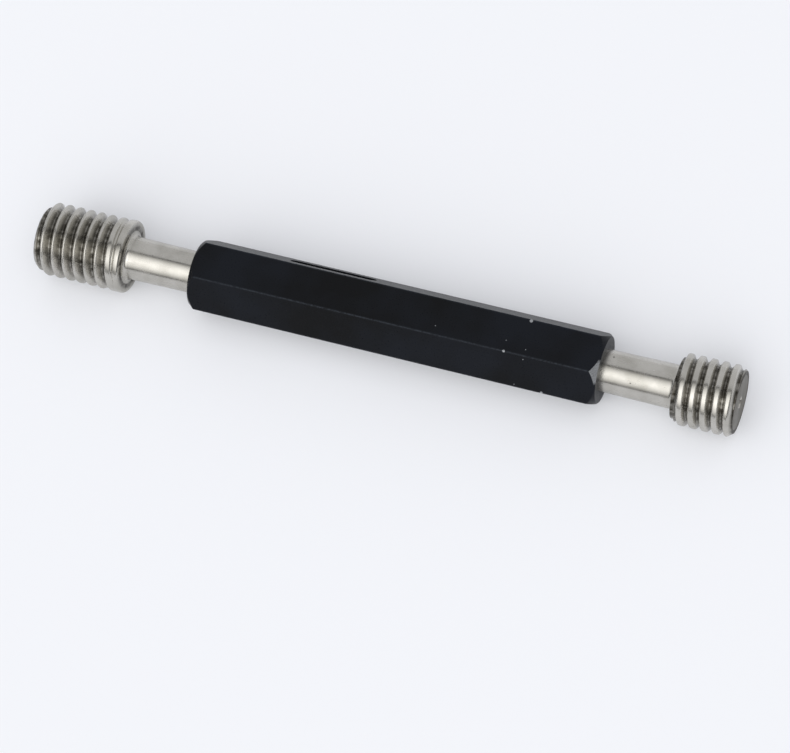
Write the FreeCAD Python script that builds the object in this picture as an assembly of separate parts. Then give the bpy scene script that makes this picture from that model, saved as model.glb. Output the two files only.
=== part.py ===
import FreeCAD, Part
import math
import os

from FreeCAD import Placement, Rotation, Vector

# Double-ended thread plug gauge for an M8 x 1.25 internal thread, in millimetres.
# A hexagonal bar handle holds a GO member at one end and a NO-GO member at the other, each by a
# self-holding taper. The gauge lies along X, NO-GO end towards +X, on one pair of level flats.

# Handle
hexAcrossFlats = 7.3
handleLength = 45.5
handleEndDiameter = 7.15       # flat ring left on each end by the chamfer
handleChamferAngle = 40.0      # degrees between the chamfer and the axis
clearBoreDiameter = 3.9        # bore that joins the two tapered seats
seatMouthDiameter = 4.55
seatTaper = 1 / 50             # change of diameter for each millimetre of length
seatDepth = 12.2
slotLength = 9.75              # drift slot, end to end, through two opposite flats
slotWidth = 1.8
slotCentreFromGoEnd = 14.6
slotFlatAngle = 30.0           # direction of the slot's flats about X, degrees from +Y towards +Z

# Shanks of both members
shankSeatLength = 11.4         # length held in the handle
goShankReach = 7.9             # length between the handle and the GO shoulder
noGoShankReach = 7.95          # length between the handle and the NO-GO collar
shankFillet = 0.25             # cone where the shank runs into the shoulder or the collar
tailChamfer = 0.25

# Threads; their depths are measured along the radius, from the crest
threadPitch = 1.25
flankAngle = 60.0
goMajorDiameter = 8.0
goPitchLineDepth = 0.4         # pitch diameter 7.2
goRootDepth = 0.75
goThreadLength = 10.05
goRunOutTurns = 0.85           # the groove rises towards the crest over this part of a turn
goRunOutDepth = 0.03           # depth that is left where the groove ends
goRunOutLand = 0.52            # from the end of the groove's centre line to the shoulder
goGrooveEndAngle = 210.0       # direction about X in which the groove ends, degrees from +Y
goEndChamfer = 0.7             # depth under the crest; leaves the free end's face about as wide as the root
goShoulderChamfer = 0.12
noGoMajorDiameter = 7.6
noGoPitchLineDepth = 0.12      # pitch diameter 7.36
noGoRootDepth = 0.5
noGoThreadLength = 6.25
noGoReliefLength = 0.4         # plain collar between the thread and the shank
noGoReliefClearance = 0.04     # the collar's surface lies this far under the thread's root
noGoGrooveEndAngle = 143.0     # direction in which the groove's centre meets the free end
noGoEndChamfer = 0.46
endChamferAngle = 40.0         # of all three chamfers, from the axis

# Centre holes, from which the members were ground
centrePilotDiameter = 0.65
centreMouthDiameter = 1.3
centreAngle = 60.0
centreDepth = 1.6

pointsPerTurn = 16             # points that each helical edge is drawn through
rootOverlap = 0.8              # length of shank drawn inside the threaded end that it carries
blankClearance = 0.15          # how far the chamfered blank stands clear of the crests

X = Vector(1, 0, 0)
halfHandle = handleLength / 2


def handleBlank():
    """Hexagonal bar with level flats, its corners turned off to a cone at each end."""
    cornerRadius = hexAcrossFlats / math.sqrt(3)
    corner = Vector(-halfHandle, cornerRadius, 0)
    corners = [Rotation(X, angle).multVec(corner) for angle in range(0, 361, 60)]
    bar = Part.Face(Part.makePolygon(corners)).extrude(X * handleLength)
    endRadius = handleEndDiameter / 2
    chamferLength = (cornerRadius - endRadius) / math.tan(math.radians(handleChamferAngle))
    # The envelope passes a little outside the corners, so that it only cuts the two ends.
    margin = 1.0
    wideRadius = cornerRadius + margin
    wideLength = chamferLength + margin / math.tan(math.radians(handleChamferAngle))
    envelope = revolved([(-halfHandle, endRadius), (-halfHandle + wideLength, wideRadius),
                         (halfHandle - wideLength, wideRadius), (halfHandle, endRadius)])
    return bar.common(envelope)


def revolved(outline):
    """Solid of revolution about X from (x, radius) points, closed along the axis."""
    points = [Vector(outline[0][0], 0, 0)]
    points += [Vector(x, 0, radius) for x, radius in outline]
    points += [Vector(outline[-1][0], 0, 0), points[0]]
    edges = []
    for start, end in zip(points, points[1:]):
        line = Part.LineSegment(start, end)
        # A long taper is drawn as a spline, whose surface takes far fewer facets than a cone's.
        longTaper = start.z != end.z and abs(end.x - start.x) > seatMouthDiameter
        edges.append(line.toBSpline().toShape() if longTaper else line.toShape())
    return Part.Face(Part.Wire(edges)).revolve(Vector(0, 0, 0), X, 360)


def taperRadius(depth):
    """Radius of the seat and of the shank at a depth inside the handle; negative is outside."""
    return (seatMouthDiameter - depth * seatTaper) / 2


def driftSlot():
    """Round-ended bar that cuts the drift slot across the whole handle."""
    centreX = -halfHandle + slotCentreFromGoEnd
    endRadius = slotWidth / 2
    straight = slotLength / 2 - endRadius
    reach = hexAcrossFlats
    a, b = centreX - straight, centreX + straight
    outline = Part.Wire([
        Part.makeLine(Vector(a, -endRadius, -reach), Vector(b, -endRadius, -reach)),
        Part.Arc(Vector(b, -endRadius, -reach), Vector(b + endRadius, 0, -reach),
                 Vector(b, endRadius, -reach)).toShape(),
        Part.makeLine(Vector(b, endRadius, -reach), Vector(a, endRadius, -reach)),
        Part.Arc(Vector(a, endRadius, -reach), Vector(a - endRadius, 0, -reach),
                 Vector(a, -endRadius, -reach)).toShape()])
    bar = Part.Face(outline).extrude(Vector(0, 0, 2 * reach))
    # The bar is drawn along Z and turned about X to the flats that it passes through.
    bar.Placement = Placement(Vector(0, 0, 0), Rotation(X, slotFlatAngle - 90))
    return bar


def handle():
    # The GO seat's outline has a point just before the slot, so that the slot cuts only a short cone.
    beforeSlot = slotCentreFromGoEnd - slotLength / 2 - slotWidth / 4
    bore = revolved([(-halfHandle, taperRadius(0)), (-halfHandle + beforeSlot, taperRadius(beforeSlot)),
                     (-halfHandle + seatDepth, taperRadius(seatDepth)),
                     (-halfHandle + seatDepth, clearBoreDiameter / 2),
                     (halfHandle - seatDepth, clearBoreDiameter / 2),
                     (halfHandle - seatDepth, taperRadius(seatDepth)), (halfHandle, taperRadius(0))])
    return handleBlank().cut(bore).cut(driftSlot())


def centreHole(x, inward):
    """Centre hole at x, drilled in the direction inward (+1 or -1 along X)."""
    mouth, pilot = centreMouthDiameter / 2, centrePilotDiameter / 2
    coneDepth = (mouth - pilot) / math.tan(math.radians(centreAngle / 2))
    return revolved([(x, mouth), (x + inward * coneDepth, pilot), (x + inward * centreDepth, pilot)])


def threadedBar(crest, pitchLineDepth, rootDepth, startX, endX, grooveEndX, grooveEndAngle,
                runOutTurns, runOutDepth, startChamfer, endChamfer):
    """Bar from startX to endX with one right-handed helical groove and a chamfer at each end.

    The groove's centre reaches grooveEndX in the direction grooveEndAngle, and ends there. Over the
    last runOutTurns its floor rises to runOutDepth under the crest.
    """
    tanHalf = math.tan(math.radians(flankAngle / 2))
    halfFloor = threadPitch / 4 - (rootDepth - pitchLineDepth) * tanHalf
    # Whole turns before and after the groove's end, with one to spare beyond each end of the bar.
    grooved = math.ceil((grooveEndX - startX) / threadPitch) + 1
    plain = math.ceil(max(0, endX - grooveEndX) / threadPitch) + (1 if endX > grooveEndX else 0)
    grooveEnd, last = grooved * pointsPerTurn, (grooved + plain) * pointsPerTurn

    helices = {"floorBack": [], "floorFront": [], "topBack": [], "topFront": []}
    for i in range(last + 1):
        turn = (i - grooveEnd) / pointsPerTurn
        rise = min(1, max(0, 1 + turn / runOutTurns)) if runOutTurns else 0
        depth = rootDepth + rise * (runOutDepth - rootDepth)
        halfTop = halfFloor + depth * tanHalf
        x = grooveEndX + turn * threadPitch
        angle = math.radians(grooveEndAngle + turn * 360)
        for name, radius, along in (("floorBack", crest - depth, -halfFloor), ("topBack", crest, -halfTop),
                                    ("floorFront", crest - depth, halfFloor), ("topFront", crest, halfTop)):
            helices[name].append(Vector(x + along, radius * math.cos(angle), radius * math.sin(angle)))
    curves = {name: Part.BSplineCurve() for name in helices}
    for name, points in helices.items():
        curves[name].interpolate(Points=points, Parameters=[float(i) for i in range(last + 1)])

    def strip(nameA, startA, nameB, startB):
        """One turn of the surface between two helices."""
        edgeA = curves[nameA].toShape(startA, startA + pointsPerTurn)
        edgeB = curves[nameB].toShape(startB, startB + pointsPerTurn)
        return Part.makeRuledSurface(edgeA, edgeB, 1)

    faces = []
    for start in range(0, last, pointsPerTurn):
        if start < grooveEnd:
            faces += [strip("topBack", start, "floorBack", start),
                      strip("floorBack", start, "floorFront", start),
                      strip("floorFront", start, "topFront", start)]
        else:
            faces.append(strip("topBack", start, "topFront", start))
        if start + pointsPerTurn < last:
            faces.append(strip("topFront", start, "topBack", start + pointsPerTurn))

    def section(i, names=("topBack", "floorBack", "floorFront", "topFront")):
        return [helices[name][i] for name in names]

    def closing(name, start, outline):
        """A helicoid from the axis to one turn of the outermost helix, and the step beside it."""
        ends = [Vector(helices[name][i].x, 0, 0) for i in (start, start + pointsPerTurn)]
        edge = curves[name].toShape(start, start + pointsPerTurn)
        step = Part.makePolygon([ends[0]] + outline + [ends[1], ends[0]])
        return [Part.makeRuledSurface(edge, Part.makeLine(*ends), 1), Part.Face(step)]

    faces += closing("topBack", 0, section(0) + [helices["topBack"][pointsPerTurn]])
    lastSection = section(last, ("topBack", "topFront")) if plain else section(last)
    lastTurn = last - pointsPerTurn
    faces += closing("topFront", lastTurn, [helices["topFront"][lastTurn]] + lastSection)
    if plain:
        faces.append(Part.Face(Part.makePolygon(section(grooveEnd) + [helices["topBack"][grooveEnd]])))
    shell = Part.makeShell(faces)
    shell.sewShape()
    # The blank stands clear of the crests between its chamfers, so that it only cuts the two ends.
    startLength, endLength = [(depth + blankClearance) / math.tan(math.radians(endChamferAngle))
                              for depth in (startChamfer, endChamfer)]
    clear = crest + blankClearance
    blank = revolved([(startX, crest - startChamfer), (startX + startLength, clear),
                      (endX - endLength, clear), (endX, crest - endChamfer)])
    return Part.makeSolid(shell).common(blank)


def goMember():
    """Full-form thread, shoulder and tapered shank of the GO end."""
    shoulderX = -halfHandle - goShankReach
    freeX = shoulderX - goThreadLength
    tailX = -halfHandle + shankSeatLength
    thread = threadedBar(goMajorDiameter / 2, goPitchLineDepth, goRootDepth, freeX, shoulderX,
                         shoulderX - goRunOutLand, goGrooveEndAngle, goRunOutTurns, goRunOutDepth,
                         goEndChamfer, goShoulderChamfer)
    shank = revolved([(shoulderX - rootOverlap, taperRadius(-goShankReach) + shankFillet),
                      (shoulderX, taperRadius(-goShankReach) + shankFillet),
                      (shoulderX + shankFillet, taperRadius(-goShankReach + shankFillet)),
                      (tailX - tailChamfer, taperRadius(shankSeatLength - tailChamfer)),
                      (tailX, taperRadius(shankSeatLength) - tailChamfer)])
    return thread.fuse(shank).cut(centreHole(freeX, 1))


def noGoMember():
    """Truncated thread, relief collar and tapered shank of the NO-GO end."""
    collarX = halfHandle + noGoShankReach
    threadX = collarX + noGoReliefLength
    freeX = threadX + noGoThreadLength
    tailX = halfHandle - shankSeatLength
    crest = noGoMajorDiameter / 2
    collar = crest - noGoRootDepth - noGoReliefClearance
    # The groove runs out through the free end, so its end lies a turn beyond it.
    thread = threadedBar(crest, noGoPitchLineDepth, noGoRootDepth, threadX, freeX,
                         freeX + threadPitch, noGoGrooveEndAngle, 0, 0, 0, noGoEndChamfer)
    shank = revolved([(tailX, taperRadius(shankSeatLength) - tailChamfer),
                      (tailX + tailChamfer, taperRadius(shankSeatLength - tailChamfer)),
                      (collarX - shankFillet, taperRadius(-noGoShankReach + shankFillet)),
                      (collarX, taperRadius(-noGoShankReach) + shankFillet), (collarX, collar),
                      (threadX + rootOverlap, collar)])
    return thread.fuse(shank).cut(centreHole(freeX, -1))


# The origin is on the surface that the gauge lies on, under the middle of its whole length.
goReach = halfHandle + goShankReach + goThreadLength
noGoReach = halfHandle + noGoShankReach + noGoReliefLength + noGoThreadLength
axisHeight = max(goMajorDiameter, noGoMajorDiameter, hexAcrossFlats) / 2
toFrame = Vector((goReach - noGoReach) / 2, 0, axisHeight)

os.makedirs("parts", exist_ok=True)
for node, shape in (("handle", handle()), ("go_member", goMember()), ("no_go_member", noGoMember())):
    shape.translate(toFrame)
    shape.exportStep("parts/" + node + ".step")
    print(node, "solids", len(shape.Solids), "valid", shape.isValid(), "volume", round(shape.Volume, 2))
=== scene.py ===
import math

import bmesh
import bpy
import numpy as np
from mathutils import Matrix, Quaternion, Vector


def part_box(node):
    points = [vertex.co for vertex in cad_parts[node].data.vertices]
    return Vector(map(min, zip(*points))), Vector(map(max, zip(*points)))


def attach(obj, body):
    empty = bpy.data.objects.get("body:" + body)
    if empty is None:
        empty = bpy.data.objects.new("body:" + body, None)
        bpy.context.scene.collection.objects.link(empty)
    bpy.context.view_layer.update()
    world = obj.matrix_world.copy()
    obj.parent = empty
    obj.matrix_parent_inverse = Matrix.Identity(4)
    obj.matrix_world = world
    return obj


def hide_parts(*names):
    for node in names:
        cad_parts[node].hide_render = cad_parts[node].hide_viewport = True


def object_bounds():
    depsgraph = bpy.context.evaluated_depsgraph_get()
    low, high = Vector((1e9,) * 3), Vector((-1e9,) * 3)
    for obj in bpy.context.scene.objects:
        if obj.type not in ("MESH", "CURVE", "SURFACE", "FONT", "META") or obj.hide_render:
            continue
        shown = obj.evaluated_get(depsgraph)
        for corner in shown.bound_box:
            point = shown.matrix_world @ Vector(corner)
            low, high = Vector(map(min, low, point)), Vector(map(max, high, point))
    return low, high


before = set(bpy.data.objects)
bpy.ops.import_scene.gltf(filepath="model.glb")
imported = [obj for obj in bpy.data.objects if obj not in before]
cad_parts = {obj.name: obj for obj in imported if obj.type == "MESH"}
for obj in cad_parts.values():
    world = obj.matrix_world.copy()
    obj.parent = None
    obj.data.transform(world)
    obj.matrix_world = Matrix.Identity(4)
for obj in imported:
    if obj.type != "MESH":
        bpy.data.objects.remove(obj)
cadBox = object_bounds()
mm = 0.001

handleLow, handleHigh = (Vector(corner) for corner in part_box("handle"))
goLow = Vector(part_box("go_member")[0])
noGoHigh = Vector(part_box("no_go_member")[1])
handleMiddle = (handleLow + handleHigh) / 2
halfHandle = (handleHigh.x - handleLow.x) / 2 / mm
print("frame loaded, gauge", round((noGoHigh.x - goLow.x) / mm, 2), "mm long")


def linearColour(hexText):
    # sRGB hex to linear: a straight line at the low end, a power of 2.4 above it
    channels = [int(hexText[i:i + 2], 16) / 255 for i in (1, 3, 5)]
    return [c / 12.92 if c <= 0.04045 else ((c + 0.055) / 1.055) ** 2.4 for c in channels] + [1.0]


def addNode(tree, kind, inputs={}, **settings):
    # adds a node with its properties; an input is a value, a socket, or a node that gives its first output
    node = tree.nodes.new("ShaderNode" + kind)
    for name, value in settings.items():
        setattr(node, name, value)
    for key, value in inputs.items():
        if isinstance(value, bpy.types.Node):
            value = value.outputs[0]
        if isinstance(value, bpy.types.NodeSocket):
            tree.links.new(value, node.inputs[key])
        else:
            node.inputs[key].default_value = value
    return node


def newMaterial(name):
    # a material with only a Principled shader on its output
    material = bpy.data.materials.new(name)
    material.use_nodes = True
    tree = material.node_tree
    tree.nodes.clear()
    shader = addNode(tree, "BsdfPrincipled")
    addNode(tree, "OutputMaterial", {"Surface": shader})
    return material, tree, shader


def gaugeCoordinates(tree):
    # place in mm from the middle of the handle's axis, its x, and its distance from the axis
    place = addNode(tree, "TexCoord").outputs["Object"]
    centred = addNode(tree, "VectorMath", {0: place, 1: handleMiddle}, operation="SUBTRACT")
    inMm = addNode(tree, "VectorMath", {0: centred, "Scale": 1 / mm}, operation="SCALE")
    parts = addNode(tree, "SeparateXYZ", {0: inMm})
    across = addNode(tree, "CombineXYZ", {"Y": parts.outputs["Y"], "Z": parts.outputs["Z"]})
    radius = addNode(tree, "VectorMath", {0: across}, operation="LENGTH").outputs["Value"]
    return inMm.outputs[0], parts.outputs["X"], radius


def aroundAxis(x, angle, radius):
    # point at x, at a radius and at an angle about the axis, in degrees from +Y towards +Z
    turn = math.radians(angle)
    return (x, radius * math.cos(turn), radius * math.sin(turn))


def spotMask(tree, place, centre, size, softness=0.3):
    # 1 inside a ball of that size in mm about the centre, falling to 0 over its outer part
    distance = addNode(tree, "VectorMath", {0: place, 1: centre}, operation="DISTANCE").outputs["Value"]
    return addNode(tree, "MapRange", {0: distance, 1: size, 2: size * (1 - softness)})


def either(tree, masks):
    # the largest of several masks
    total = masks[0]
    for mask in masks[1:]:
        total = addNode(tree, "Math", {0: total, 1: mask}, operation="MAXIMUM")
    return total


def times(tree, *factors):
    # the product of several factors
    product = factors[0]
    for factor in factors[1:]:
        product = addNode(tree, "Math", {0: product, 1: factor}, operation="MULTIPLY")
    return product


# Handle

handleLook = {
    "oxideDark": "#0a0b0d",
    "oxideBlue": "#11141a",
    "bareSteel": "#a9abad",
    "rubbedOxide": "#2c3036",
    "bareMetallic": 0.85,
    "specularLevel": 0.14,        # the oxide reflects less than bare steel would
    "cloudSize": 7.0,             # mm from a dark patch of the oxide to a blue one
    "drawnLineWidth": 0.12,       # mm, lines that the drawing die left along the bar
    "drawnLineLength": 10.0,
    "drawnLineDepth": 0.012,
    "grainsPerMm": 5.0,
    "fineGrainsPerMm": 16.0,
    "fineGrainDepth": 0.01,
    "cornerRounding": 0.1,
    "cornerWearWidth": 0.075,     # mm down from the corners, measured along the radius
    "chamferAngle": 40.0,         # degrees from the axis
    "chamferInnerRadius": 3.575,
    # bare places: x, angle about the axis, distance from it, size
    "knockedCorner": (22.75, 120.0, 3.6, 1.4),
    "chips": [(14.5, 62.0, 4.14, 0.2), (17.1, 179.0, 4.18, 0.16), (12.7, 120.0, 4.18, 0.16),
              (14.9, 110.5, 3.9, 0.055), (12.6, 103.0, 3.75, 0.05), (14.85, 126.0, 4.0, 0.06),
              (14.1, 176.0, 4.06, 0.06), (4.9, 106.7, 3.82, 0.055)],
}


def blackOxideSteel():
    # Cold-drawn hexagon bar, hot blackened: a deep blue-black satin skin, thin and rubbed on the corners,
    # with bare grey steel where a corner was knocked.
    look = handleLook
    material, tree, shader = newMaterial("black_oxide_drawn_steel")
    place, x, radius = gaugeCoordinates(tree)
    cornerRadius = (handleHigh.y - handleLow.y) / 2 / mm

    clouds = addNode(tree, "TexNoise", {"Vector": place, "Scale": 1 / look["cloudSize"], "Detail": 4.0})
    alongBar = (1 / look["drawnLineLength"], 1 / look["drawnLineWidth"], 1 / look["drawnLineWidth"])
    drawn = addNode(tree, "VectorMath", {0: place, 1: alongBar}, operation="MULTIPLY")
    drawnLines = addNode(tree, "TexNoise", {"Vector": drawn, "Scale": 1.0, "Detail": 2.0})
    grain = addNode(tree, "TexNoise", {"Vector": place, "Scale": look["grainsPerMm"], "Detail": 4.0})
    fineGrain = addNode(tree, "TexNoise", {"Vector": place, "Scale": look["fineGrainsPerMm"],
                                           "Detail": 2.0})

    # corners: rubbed where the radius is near that of the corners, in a broken line
    cornerDepth = addNode(tree, "Math", {0: cornerRadius, 1: radius}, operation="SUBTRACT")
    nearCorner = addNode(tree, "MapRange", {0: cornerDepth, 1: look["cornerWearWidth"], 2: 0.01})
    broken = addNode(tree, "MapRange", {0: grain, 1: 0.35, 2: 0.62, 3: 0.15, 4: 1.0})
    rubbed = times(tree, nearCorner, broken)

    # the chamfer's cone has radius inner + (half length - |x|) tan(angle)
    slope = math.tan(math.radians(look["chamferAngle"]))
    sideways = addNode(tree, "Math", {0: x}, operation="ABSOLUTE")
    radiusAtMiddle = look["chamferInnerRadius"] + halfHandle * slope
    coneRadius = addNode(tree, "Math", {0: sideways, 1: -slope, 2: radiusAtMiddle},
                         operation="MULTIPLY_ADD")
    inside = addNode(tree, "Math", {0: coneRadius, 1: radius}, operation="SUBTRACT")
    onChamfer = addNode(tree, "MapRange", {0: inside, 1: 0.06, 2: 0.02})
    knockX, knockAngle, knockRadius, knockSize = look["knockedCorner"]
    nearKnock = spotMask(tree, place, aroundAxis(knockX, knockAngle, knockRadius), knockSize, 0.35)
    scraped = addNode(tree, "MapRange", {0: fineGrain, 1: 0.36, 2: 0.56, 3: 0.25, 4: 1.0})
    knocked = times(tree, onChamfer, nearKnock, scraped)

    chips = [spotMask(tree, place, aroundAxis(*chip[:3]), chip[3]) for chip in look["chips"]]
    bare = either(tree, [knocked] + chips)

    bluer = addNode(tree, "MapRange", {0: clouds, 1: 0.38, 2: 0.66})
    oxide = addNode(tree, "MixRGB", {0: bluer, 1: linearColour(look["oxideDark"]),
                                     2: linearColour(look["oxideBlue"])})
    worn = addNode(tree, "MixRGB", {0: rubbed, 1: oxide, 2: linearColour(look["rubbedOxide"])})
    colour = addNode(tree, "MixRGB", {0: bare, 1: worn, 2: linearColour(look["bareSteel"])})
    roughness = addNode(tree, "MapRange", {0: grain, 1: 0.3, 2: 0.7, 3: 0.26, 4: 0.34})

    rounded = addNode(tree, "Bevel", {"Radius": look["cornerRounding"] * mm}, samples=6)
    skin = addNode(tree, "Bump", {"Height": fineGrain, "Strength": 0.25,
                                  "Distance": look["fineGrainDepth"] * mm, "Normal": rounded})
    skin = addNode(tree, "Bump", {"Height": drawnLines, "Strength": 0.35,
                                  "Distance": look["drawnLineDepth"] * mm, "Normal": skin})
    tree.links.new(colour.outputs[0], shader.inputs["Base Color"])
    tree.links.new(times(tree, bare, look["bareMetallic"]).outputs[0], shader.inputs["Metallic"])
    tree.links.new(roughness.outputs[0], shader.inputs["Roughness"])
    tree.links.new(skin.outputs[0], shader.inputs["Normal"])
    shader.inputs["Specular IOR Level"].default_value = look["specularLevel"]
    return material


# Gauging members: steel surfaces of the solids' form, with finer steps round the helix, round fillets and
# worn edges. Lengths are in mm and x is from the middle of the handle.

goFreeX = (goLow.x - handleMiddle.x) / mm
noGoFreeX = (noGoHigh.x - handleMiddle.x) / mm

shankLook = {
    "mouthRadius": 2.275,         # at the handle's end
    "taper": 0.02,                # change of diameter for each mm of length
    "seatLength": 11.4,
    "tailChamfer": 0.25,
    "fillet": 0.5,                # reach of the fillet at the shoulder and at the collar
    "edge": 0.05,                 # reach of the rounding on outer edges
}
centreHoleLook = {"pilotRadius": 0.325, "mouthRadius": 0.65, "coneAngle": 60.0, "depth": 1.6,
                  "edge": 0.02}
threadLook = {"pitch": 1.25, "flankAngle": 60.0, "chamferAngle": 40.0, "rowsPerPitch": 32, "columns": 192}
goThread = {
    "start": goFreeX, "end": goFreeX + 10.05, "startFace": 3.3, "endFace": 3.88,
    "crest": 4.0, "pitchLineDepth": 0.4, "rootDepth": 0.75, "crestRounding": 0.05, "rootRounding": 0.14,
    "grooveEnd": goFreeX + 9.53, "grooveEndAngle": 210.0, "runOutTurns": 0.85,
}
noGoThread = {
    "start": noGoFreeX - 6.25, "end": noGoFreeX, "startFace": 3.8, "endFace": 3.34,
    "crest": 3.8, "pitchLineDepth": 0.12, "rootDepth": 0.5, "crestRounding": 0.06, "rootRounding": 0.1,
    # the groove runs out through the free end, so its own end lies a turn beyond it
    "grooveEnd": noGoFreeX + threadLook["pitch"], "grooveEndAngle": 143.0, "runOutTurns": 0.1,
    # plain collar between thread and shank: its length, and how far it lies under the thread's root
    "collarLength": 0.4, "collarClearance": 0.04,
}


def softMaximum(a, b, rounding):
    # half of a + b + the root of (a - b) squared + rounding squared: the larger one, with a rounded corner
    return (a + b + np.sqrt((a - b) ** 2 + rounding ** 2)) / 2


def roundedOutline(corners):
    # corners are x, radius and reach; each is replaced by a parabola that leaves the sides at that reach
    points = np.array([corner[:2] for corner in corners], dtype=float)
    reach = np.array([corner[2] for corner in corners])[:, None]
    before, after = np.roll(points, 1, axis=0) - points, np.roll(points, -1, axis=0) - points
    before[0], after[-1] = after[0], before[-1]
    start = points + before / np.linalg.norm(before, axis=1, keepdims=True) * reach
    end = points + after / np.linalg.norm(after, axis=1, keepdims=True) * reach
    t = np.linspace(0, 1, 7)[:, None, None]
    curve = (1 - t) ** 2 * start + 2 * t * (1 - t) * points + t ** 2 * end
    return np.swapaxes(curve, 0, 1).reshape(-1, 2)


def threadRows(thread):
    # Rows follow the helix: x = row + pitch x turns, held between the two end faces. The groove's cut is
    # its depth less the height of the flanks over its floor. Towards its end the depth falls in a straight
    # line, and goes a little below nothing beyond it, so that the rounding leaves no ridge there.
    look = threadLook
    pitch, slope = look["pitch"], math.tan(math.radians(look["flankAngle"] / 2))
    turns = np.linspace(0, 1, look["columns"] + 1)[None, :]
    endTurn = thread["grooveEndAngle"] / 360
    rowsPerPitch = look["rowsPerPitch"]
    firstRow = math.floor((thread["start"] - pitch - thread["grooveEnd"]) / pitch * rowsPerPitch)
    lastRow = math.ceil((thread["end"] + pitch - thread["grooveEnd"]) / pitch * rowsPerPitch)
    phase = np.arange(firstRow, lastRow)
    row = thread["grooveEnd"] + (phase[:, None] / rowsPerPitch - endTurn) * pitch
    x = np.clip(row + turns * pitch, thread["start"], thread["end"])

    along = (x - thread["grooveEnd"]) / pitch - (turns - endTurn)
    groove = np.round(along)
    fromEnd = turns - endTurn + groove
    depth = thread["rootDepth"] * -np.clip(fromEnd / thread["runOutTurns"], -1, 0.2)
    halfFloor = pitch / 4 - (thread["rootDepth"] - thread["pitchLineDepth"]) * slope
    height = softMaximum((np.abs(along - groove) * pitch - halfFloor) / slope, 0, thread["rootRounding"])
    cut = softMaximum(depth - height, 0, thread["crestRounding"])

    # the blank: a cone at each end that leaves the face its radius, clear of the crests between them
    rise = math.tan(math.radians(look["chamferAngle"]))
    blank = np.minimum(thread["startFace"] + (x - thread["start"]) * rise,
                       thread["endFace"] + (thread["end"] - x) * rise)
    return x, -softMaximum(cut - thread["crest"], -blank, thread["crestRounding"])


def steelSurface(name, sections):
    # joins the sections, each one x and radius by rows and columns, and turns them about the axis
    columns = threadLook["columns"] + 1
    x, radius = (np.concatenate([np.broadcast_to(section[part], (len(section[part]), columns))
                                 for section in sections]) for part in (0, 1))
    angle = np.linspace(0, 2 * np.pi, columns)
    points = np.stack([x, radius * np.cos(angle), radius * np.sin(angle)], axis=-1) * mm
    points += np.array(handleMiddle)
    grid = np.arange(x.size).reshape(x.shape)
    quads = np.stack([grid[:-1, :-1], grid[:-1, 1:], grid[1:, 1:], grid[1:, :-1]], axis=-1).reshape(-1, 4)

    mesh = bpy.data.meshes.new(name)
    mesh.from_pydata(points.reshape(-1, 3), [], quads.tolist())
    # the seam, the poles and the rows held on an end face are welded
    shell = bmesh.new()
    shell.from_mesh(mesh)
    bmesh.ops.remove_doubles(shell, verts=shell.verts, dist=0.0005 * mm)
    shell.to_mesh(mesh)
    shell.free()
    mesh.shade_smooth()
    piece = bpy.data.objects.new(name, mesh)
    bpy.context.collection.objects.link(piece)
    return piece


def outlineSection(corners):
    # x and radius of a turned stretch, as columns
    outline = roundedOutline(corners)
    return outline[:, :1], outline[:, 1:]


def shankRadius(x):
    # the taper's radius, half a handle's length being its mouth
    return shankLook["mouthRadius"] + (abs(x) - halfHandle) * shankLook["taper"] / 2


def centreHoleCorners(faceX, inward, faceRadius):
    # from the pilot hole's bottom on the axis out to the end face, which ends just inside its rim
    hole = centreHoleLook
    coneDepth = (hole["mouthRadius"] - hole["pilotRadius"]) / math.tan(math.radians(hole["coneAngle"] / 2))
    deep = faceX + inward * hole["depth"]
    return [(deep, 0, 0), (deep, hole["pilotRadius"], hole["edge"]),
            (faceX + inward * coneDepth, hole["pilotRadius"], hole["edge"]),
            (faceX, hole["mouthRadius"], hole["edge"]), (faceX, faceRadius - shankLook["edge"], 0)]


def goMember():
    # end face and centre hole, thread, then the shoulder, the shank and its inner end
    shank, shoulderX = shankLook, goThread["end"]
    tailX = -halfHandle + shank["seatLength"]
    back = [(shoulderX, goThread["endFace"] - shank["edge"], 0),
            (shoulderX, shankRadius(shoulderX), shank["fillet"]),
            (tailX - shank["tailChamfer"], shankRadius(tailX), shank["edge"]),
            (tailX, shankRadius(tailX) - shank["tailChamfer"], shank["edge"]), (tailX, 0, 0)]
    face = centreHoleCorners(goFreeX, 1, goThread["startFace"])
    sections = [outlineSection(face), threadRows(goThread), outlineSection(back)]
    return steelSurface("go_member_steel", sections)


def noGoMember():
    # the shank from its inner end, the collar, thread, then the end face and centre hole
    shank, threadX = shankLook, noGoThread["start"]
    tailX = halfHandle - shank["seatLength"]
    collarRadius = noGoThread["crest"] - noGoThread["rootDepth"] - noGoThread["collarClearance"]
    collarX = threadX - noGoThread["collarLength"]
    front = [(tailX, 0, 0), (tailX, shankRadius(tailX) - shank["tailChamfer"], shank["edge"]),
             (tailX + shank["tailChamfer"], shankRadius(tailX), shank["edge"]),
             (collarX, shankRadius(collarX), shank["fillet"]), (collarX, collarRadius, shank["edge"]),
             (threadX, collarRadius, shank["edge"])]
    face = centreHoleCorners(noGoFreeX, -1, noGoThread["endFace"])[::-1]
    sections = [outlineSection(front), threadRows(noGoThread), outlineSection(face)]
    return steelSurface("no_go_member_steel", sections)


memberLook = {
    "steel": "#d0cdc6",
    "steelShade": "#bebbb3",
    # painted shade for the thread's root; also the darker tone of the turned end face
    "rootShadeAndEndFaceColour": "#3a362e",
    "pitColour": "#15130f",
    "grindLineWidth": 0.10,       # mm, drawn coarser than the real grit, so that it shows
    "surfaceDepth": 0.006,        # mm, of those lines and of the grain
    "cloudsPerMm": 0.45,
    "grainsPerMm": 9.0,
    "smearsPerMm": (0.6, 2.0, 2.0),
    "anisotropy": 0.6,
    "threadInnerRadius": 2.9,     # the thread and collar lie outside this radius
}


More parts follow.
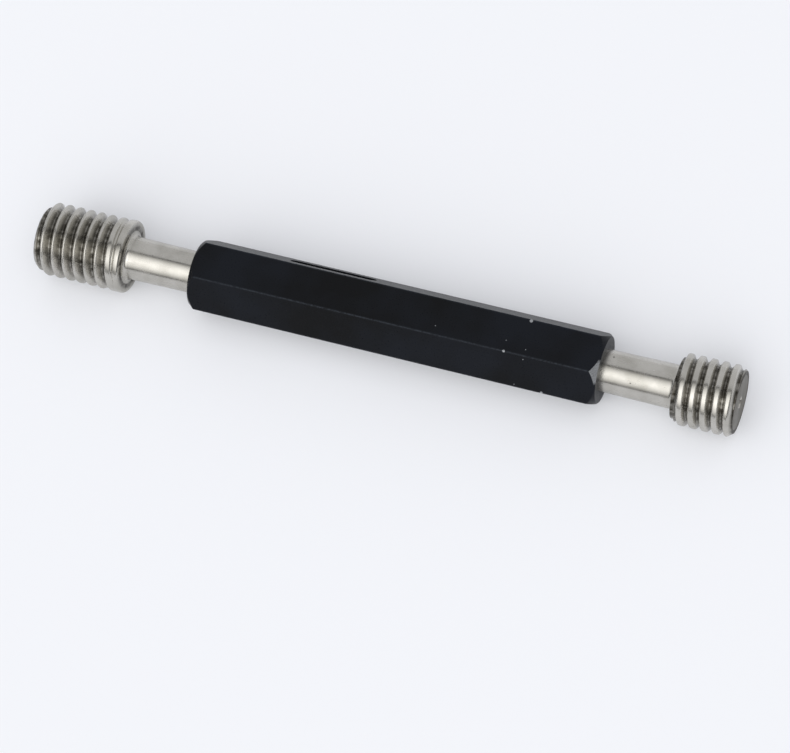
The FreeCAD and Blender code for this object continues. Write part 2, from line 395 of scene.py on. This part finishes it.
def groundThreadSteel(name, thread, freeX, pits):
    # Hardened tool steel, cylindrically ground and thread ground: bright, with fine lines round the axis,
    # painted shade in patches deep in the thread's root, a darker and duller turned end face, and small
    # pits.
    look = memberLook
    material, tree, shader = newMaterial(name)
    place, x, radius = gaugeCoordinates(tree)

    ringPlace = addNode(tree, "CombineXYZ", {"X": x, "Y": radius})
    rings = addNode(tree, "TexNoise", {"Vector": ringPlace, "Scale": 1 / look["grindLineWidth"],
                                       "Detail": 2.0})
    clouds = addNode(tree, "TexNoise", {"Vector": place, "Scale": look["cloudsPerMm"], "Detail": 3.0})
    smear = addNode(tree, "VectorMath", {0: place, 1: look["smearsPerMm"]}, operation="MULTIPLY")
    smearedNoise = addNode(tree, "TexNoise", {"Vector": smear, "Scale": 1.0, "Detail": 5.0})
    grain = addNode(tree, "TexNoise", {"Vector": place, "Scale": look["grainsPerMm"], "Detail": 3.0})

    inner = look["threadInnerRadius"]
    onThread = addNode(tree, "MapRange", {0: radius, 1: inner, 2: inner + 0.05})
    # painted shade: the colour goes dark in patches deep in the thread's root, where the groove lies in
    # shade
    intoRoot = addNode(tree, "MapRange", {0: radius, 1: thread["crest"] - 0.4 * thread["rootDepth"],
                                          2: thread["crest"] - thread["rootDepth"]})
    patchy = addNode(tree, "MapRange", {0: smearedNoise, 1: 0.25, 2: 0.6, 3: 0.35, 4: 1.0})
    paintedRootShade = times(tree, onThread, intoRoot, patchy)
    pitted = either(tree, [spotMask(tree, place, aroundAxis(*pit[:3]), pit[3]) for pit in pits])
    fromEnd = addNode(tree, "Math", {0: x, 1: freeX}, operation="SUBTRACT")
    endDepth = addNode(tree, "Math", {0: fromEnd}, operation="ABSOLUTE")
    endFace = addNode(tree, "MapRange", {0: endDepth, 1: 0.02, 2: 0.005})

    tone = addNode(tree, "MapRange", {0: clouds, 1: 0.35, 2: 0.65})
    rootShadeAndEndFaceColour = linearColour(look["rootShadeAndEndFaceColour"])
    steel = addNode(tree, "MixRGB", {0: tone, 1: linearColour(look["steel"]),
                                     2: linearColour(look["steelShade"])})
    # mixes in the painted root shade, then turns the end face 0.6 of the way to the same dark colour
    rootShadedSteel = addNode(tree, "MixRGB", {0: paintedRootShade, 1: steel, 2: rootShadeAndEndFaceColour})
    faced = addNode(tree, "MixRGB", {0: times(tree, endFace, 0.6), 1: rootShadedSteel, 2: rootShadeAndEndFaceColour})
    colour = addNode(tree, "MixRGB", {0: times(tree, pitted, 0.9), 1: faced,
                                      2: linearColour(look["pitColour"])})

    polish = addNode(tree, "MapRange", {0: smearedNoise, 1: 0.3, 2: 0.7, 3: 0.2, 4: 0.3})
    roughness = addNode(tree, "Math", {0: endFace, 1: 0.3, 2: polish}, operation="MULTIPLY_ADD")
    depth = look["surfaceDepth"] * mm
    ground = addNode(tree, "Bump", {"Height": rings, "Strength": 0.3, "Distance": depth})
    ground = addNode(tree, "Bump", {"Height": grain, "Strength": 0.2, "Distance": depth, "Normal": ground})
    tree.links.new(colour.outputs[0], shader.inputs["Base Color"])
    tree.links.new(roughness.outputs[0], shader.inputs["Roughness"])
    tree.links.new(ground.outputs[0], shader.inputs["Normal"])
    lay = addNode(tree, "Tangent", direction_type="RADIAL", axis="X")
    tree.links.new(lay.outputs[0], shader.inputs["Tangent"])
    shader.inputs["Anisotropic"].default_value = look["anisotropy"]
    shader.inputs["Anisotropic Rotation"].default_value = 0.25
    shader.inputs["Metallic"].default_value = 1.0
    return material


# pits: x, angle about the axis, distance from it, size
goPits = [(-27.6, 95.0, 2.33, 0.04), (-24.8, 60.0, 2.3, 0.05)]
noGoPits = [(26.1, 131.0, 2.31, 0.075), (23.7, 70.7, 2.29, 0.1), (27.6, 150.0, 2.33, 0.04),
            (25.2, 40.0, 2.31, 0.06)]
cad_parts["handle"].material_slots[0].material = blackOxideSteel()
goSteel = groundThreadSteel("go_ground_tool_steel", goThread, goFreeX, goPits)
noGoSteel = groundThreadSteel("no_go_ground_tool_steel", noGoThread, noGoFreeX, noGoPits)
for name, piece, finish in (("go_member", goMember(), goSteel), ("no_go_member", noGoMember(), noGoSteel)):
    piece.data.materials.append(finish)
    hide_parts(name)
    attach(piece, "root")
    print(piece.name, len(piece.data.polygons), "faces")


# Table, light and camera

stageLook = {
    "floorSize": 6.0,
    "floorColour": "#dcdde0",
    "floorLift": 0.15,            # brightness that the camera sees on top of the lit floor
    "surroundings": "#cfd0d3",
    "backdrop": "#f1f2f5",
    "blackSheet": "#050505",
}


def paleFloor():
    # level sheet under the gauge; it shows a little brighter to the camera than it lights the gauge
    look = stageLook
    bpy.ops.mesh.primitive_plane_add(size=look["floorSize"], location=(0, 0, cadBox[0][2]))
    floor = bpy.context.object
    floor.name = "floor"
    material, tree, shader = newMaterial("matt_white_paper")
    shader.inputs["Base Color"].default_value = linearColour(look["floorColour"])
    shader.inputs["Roughness"].default_value = 0.9
    shader.inputs["Specular IOR Level"].default_value = 0.1
    shader.inputs["Emission Color"].default_value = linearColour(look["backdrop"])
    seen = addNode(tree, "LightPath").outputs["Is Camera Ray"]
    tree.links.new(times(tree, seen, look["floorLift"]).outputs[0], shader.inputs["Emission Strength"])
    floor.data.materials.append(material)


def surroundings():
    # even grey room light, white where the camera looks past the floor
    look = stageLook
    world = bpy.data.worlds.new("surroundings")
    world.use_nodes = True
    bpy.context.scene.world = world
    tree = world.node_tree
    tree.nodes.clear()
    seen = addNode(tree, "LightPath").outputs["Is Camera Ray"]
    room = addNode(tree, "Background", {"Color": linearColour(look["surroundings"])})
    white = addNode(tree, "Background", {"Color": linearColour(look["backdrop"])})
    mixed = addNode(tree, "MixShader", {0: seen, 1: room, 2: white})
    addNode(tree, "OutputWorld", {"Surface": mixed})


# angles are about the gauge's axis, in degrees from +Y towards +Z; lengths are in metres, power in watts
softboxLook = {"angle": 131, "distance": 0.45, "x": -0.15, "length": 1.2, "width": 1.0, "spread": 100,
               "power": 2.3}
blackSheetLook = {"angle": 133, "distance": 0.5, "length": 2.0, "width": 1.3}


def aimedAt(angle, distance):
    # place at that angle and distance from the axis, and the turn that faces it there
    outwards = Vector((0, math.cos(math.radians(angle)), math.sin(math.radians(angle))))
    target = Vector((0, 0, handleMiddle.z))
    return target + outwards * distance, outwards.to_track_quat("Z", "Y")


def softbox(name, look):
    # flat rectangular lamp behind a honeycomb, so that its sheen fades towards its edges
    lamp = bpy.data.lights.new(name, "AREA")
    lamp.shape = "RECTANGLE"
    lamp.size, lamp.size_y = look["length"], look["width"]
    lamp.spread = math.radians(look["spread"])
    lamp.energy = look["power"]
    lampObject = bpy.data.objects.new(name, lamp)
    place, turn = aimedAt(look["angle"], look["distance"])
    lampObject.location = place + Vector((look["x"], 0, 0))
    lampObject.rotation_euler = turn.to_euler()
    bpy.context.collection.objects.link(lampObject)


def blackSheet(name, look):
    # black sheet behind the lamp and wider than it, seen only in reflections: a dark line on each side
    # of the lamp's bright band in the steel
    place, turn = aimedAt(look["angle"], look["distance"])
    bpy.ops.mesh.primitive_plane_add(size=1, location=place, rotation=turn.to_euler())
    sheet = bpy.context.object
    sheet.name = name
    sheet.scale = (look["length"], look["width"], 1)
    material, tree, shader = newMaterial(name + "_black_card")
    shader.inputs["Base Color"].default_value = linearColour(stageLook["blackSheet"])
    shader.inputs["Specular IOR Level"].default_value = 0.0
    sheet.data.materials.append(material)
    sheet.visible_camera = False
    sheet.visible_shadow = False
    sheet.visible_diffuse = False


cameraLook = {
    "aim": handleMiddle + Vector((1.607, -6.258, 0)) * mm,
    "distance": 0.35712,
    "azimuth": 34.035,            # degrees from -Y towards +X
    "elevation": 64.098,
    "roll": -17.627,
    "lens": 154.94,
}


def photoCamera():
    # stands off from the aim along its azimuth and elevation, then rolls about its own line of sight
    look = cameraLook
    azimuth, elevation = math.radians(look["azimuth"]), math.radians(look["elevation"])
    outwards = Vector((math.sin(azimuth) * math.cos(elevation), -math.cos(azimuth) * math.cos(elevation),
                       math.sin(elevation)))
    lens = bpy.data.cameras.new("camera")
    lens.lens = look["lens"]
    lens.sensor_width = 36
    lens.clip_start = 0.01
    camera = bpy.data.objects.new("camera", lens)
    camera.location = look["aim"] + outwards * look["distance"]
    level = outwards.to_track_quat("Z", "Y")
    camera.rotation_euler = (level @ Quaternion((0, 0, 1), math.radians(look["roll"]))).to_euler()
    bpy.context.collection.objects.link(camera)
    bpy.context.scene.camera = camera


paleFloor()
surroundings()
softbox("front_softbox", softboxLook)
blackSheet("front_softbox_back", blackSheetLook)
photoCamera()
bpy.context.scene.view_settings.view_transform = "Standard"
print("stage set")
